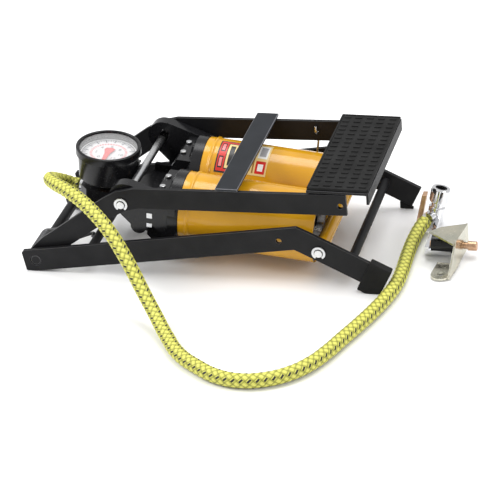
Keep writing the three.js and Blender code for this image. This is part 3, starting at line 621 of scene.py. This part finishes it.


# Return springs: dark round wire wound on the heel shaft. The inner leg bears on the base and
# the outer one on the pedal frame.
def make_spring(word, side):
    coil, turns, outer, inner = 7.0, 9, 55.0, 30.0
    points = [(58, inner - 1, 22.8), (38, inner - 1, 21.5), (22, inner - 0.5, 18.9)]
    for i in range(turns * 8 + 1):
        angle = math.pi * 0.42 + 2 * math.pi * i / 8
        points.append((9.5 + coil * math.cos(angle), inner + (outer - inner) * i / (turns * 8),
                       9.5 + coil * math.sin(angle)))
    points += [(24, outer, 19.2), (40, outer, 24.5), (51, outer, 29), (55, outer + 0.8, 30.6),
               (56, 61, 31)]
    line = [at(x, side * y, z) for x, y, z in points]
    curve = smooth_curve(f"spring_line_{word}", line, 1.2 * MM, 6, 12)
    curve.use_fill_caps = True
    piece = bpy.data.objects.new(f"return_spring_{word}_wound", mesh_of_curve(curve))
    bpy.context.scene.collection.objects.link(piece)
    piece.data.shade_smooth()
    piece.data.materials.clear()
    piece.data.materials.append(SPRING_STEEL)
    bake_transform(piece)
    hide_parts(f"return_spring_{word}")


SPRING_STEEL = surface("spring_steel", (0.05, 0.05, 0.055), (0.1, 0.1, 0.1), metallic=1,
                       rough=(0.3, 0.42), grain=700)
make_spring("near", -1)
make_spring("far", 1)


# Labels: two thin printed plates stuck round the far barrel. Their print is plain blocks of colour
# with no lettering.
def label_piece(name, span, angles, blocks, node):
    """A thin curved plate with a UV map from 0 to 1 both ways; blocks are (u0, u1, v0, v1, colour)."""
    mesh = bmesh.new()
    layer = mesh.loops.layers.uv.new("UVMap")
    steps, (x0, x1), (a0, a1) = 40, span, angles
    place = PUMP @ Matrix.Translation((0, BARREL_Y, 0))
    rows = []
    for i in range(steps + 1):
        angle = a0 + (a1 - a0) * i / steps
        rows.append([mesh.verts.new(place @ Vector((x, r * math.cos(angle), r * math.sin(angle))))
                     for x, r in ((x0, 27.05), (x0, 27.3), (x1, 27.3), (x1, 27.05))])
    for i in range(steps):
        for k in range(4):
            a, b = rows[i], rows[i + 1]
            mesh.faces.new((a[k], b[k], b[(k + 1) % 4], a[(k + 1) % 4]))
    mesh.faces.new(rows[0])
    mesh.faces.new(rows[-1][::-1])
    bmesh.ops.recalc_face_normals(mesh, faces=mesh.faces)
    back = place.inverted()
    for face in mesh.faces:
        for loop in face.loops:
            spot = back @ loop.vert.co
            loop[layer].uv = ((spot.x - x0) / (x1 - x0), (math.atan2(spot.z, spot.y) - a0) / (a1 - a0))
    material = new_material(name + "_print", (0.8, 0.75, 0.6), 0.3)
    uv = add_node(material, "ShaderNodeUVMap", uv_map="UVMap").outputs[0]
    parts = add_node(material, "ShaderNodeSeparateXYZ", {0: uv})
    color = blocks[0][4]
    for u0, u1, v0, v1, paint in blocks:
        inside = 1.0
        for socket, low, high in ((parts.outputs[0], u0, u1), (parts.outputs[1], v0, v1)):
            inside = maths(material, "MULTIPLY", inside, maths(material, "GREATER_THAN", socket, low))
            inside = maths(material, "MULTIPLY", inside, maths(material, "LESS_THAN", socket, high))
        color = mixed(material, inside, color, paint)
    feed(material, "Base Color", color)
    shown(name, mesh, material, "label", "cylinders", node)


BLACK, RED_INK, PINK = (0.012, 0.012, 0.012), (0.55, 0.02, 0.015), (0.7, 0.2, 0.2)
CREAM, WHITE, BROWN, GREY = (0.72, 0.55, 0.24), (0.8, 0.8, 0.78), (0.3, 0.14, 0.03), (0.35, 0.35, 0.36)
label_piece("label_badge_printed", (-99, -83), (1.48, 2.6), [
    (0, 1, 0, 1, BLACK), (0.06, 0.94, 0.04, 0.96, RED_INK), (0.42, 0.94, 0.1, 0.9, BLACK),
    (0.46, 0.9, 0.13, 0.87, CREAM), (0.56, 0.8, 0.2, 0.8, BLACK), (0.12, 0.34, 0.56, 0.88, BLACK),
    (0.16, 0.3, 0.6, 0.84, PINK), (0.12, 0.34, 0.12, 0.42, BLACK), (0.16, 0.3, 0.16, 0.38, PINK)],
            "label_badge")
label_piece("label_data_printed", (-80, -59), (1.4, 2.55), [
    (0, 1, 0, 1, CREAM), (0.08, 0.16, 0.1, 0.95, BROWN), (0.22, 0.28, 0.1, 0.8, BROWN),
    (0.34, 0.4, 0.1, 0.9, BROWN), (0.46, 0.52, 0.3, 0.95, BROWN), (0.58, 0.94, 0.08, 0.54, WHITE),
    (0.64, 0.88, 0.14, 0.48, GREY), (0.58, 0.94, 0.62, 0.95, RED_INK), (0.66, 0.86, 0.7, 0.88, WHITE)],
            "label_data")


# Chuck: a chromed nozzle with the hose in its side, a copper clip and pin, and a pressed thumb
# lever of yellowish zinc. It sits at the end of the hose's run.
CHROME = surface("chrome_plate", (0.72, 0.73, 0.75), (0.8, 0.8, 0.81), metallic=1, rough=(0.05, 0.16),
                 grain=180, blotch=120)
COPPER = surface("bare_copper", (0.50, 0.30, 0.18), (0.64, 0.42, 0.28), metallic=1, rough=(0.24, 0.4),
                 grain=400, depth=0.00002, blotch=200)
# The zinc's rounded edges are painted near white: partly wear, partly a painted highlight.
ZINC = surface("yellow_zinc", (0.50, 0.50, 0.42), (0.66, 0.62, 0.50), metallic=1, rough=(0.14, 0.3),
               grain=240, depth=0.00002, blotch=70, edge_wear_and_highlight=(0.75, 0.74, 0.7))
chuck_pieces = [
    softened("chuck_body", CHROME, "chrome", "base", 0.25),
    softened("chuck_lever", ZINC, "zinc", "chuck_lever", 0.35),
    softened("lever_pin", COPPER, "brass", "base", 0.3),
    # The cam roller is black plastic; its black also stands in for the shade under the lever's web.
    softened("cam_roller", GLOSS_BLACK, "black_plastic", "base", 0.4),
    softened("chuck_clip", COPPER, "brass", "base", 0.3),
    bpy.data.objects["chuck_seal"]]


# Latch wire and inner parts: the wire is bright and thin. The pieces inside the pump keep their CAD
# shapes and take the same metals, rubber and plastic as the outside.
softened("latch_wire", STEEL, "steel", "latch", 0.1)
for material, nodes in (
        (COPPER, ("gauge_stem", "bourdon_tube")),
        (STEEL, ("hose_barb", "gauge_arbor", "piston_rod_near", "piston_rod_far")),
        (GLOSS_BLACK, ("piston_near", "piston_far")),
        (RUBBER, ("piston_seal_near", "piston_seal_far", "check_valve_near", "check_valve_far",
                  "chuck_seal"))):
    for node in nodes:
        for held in bpy.data.objects[node].material_slots:
            held.material = material
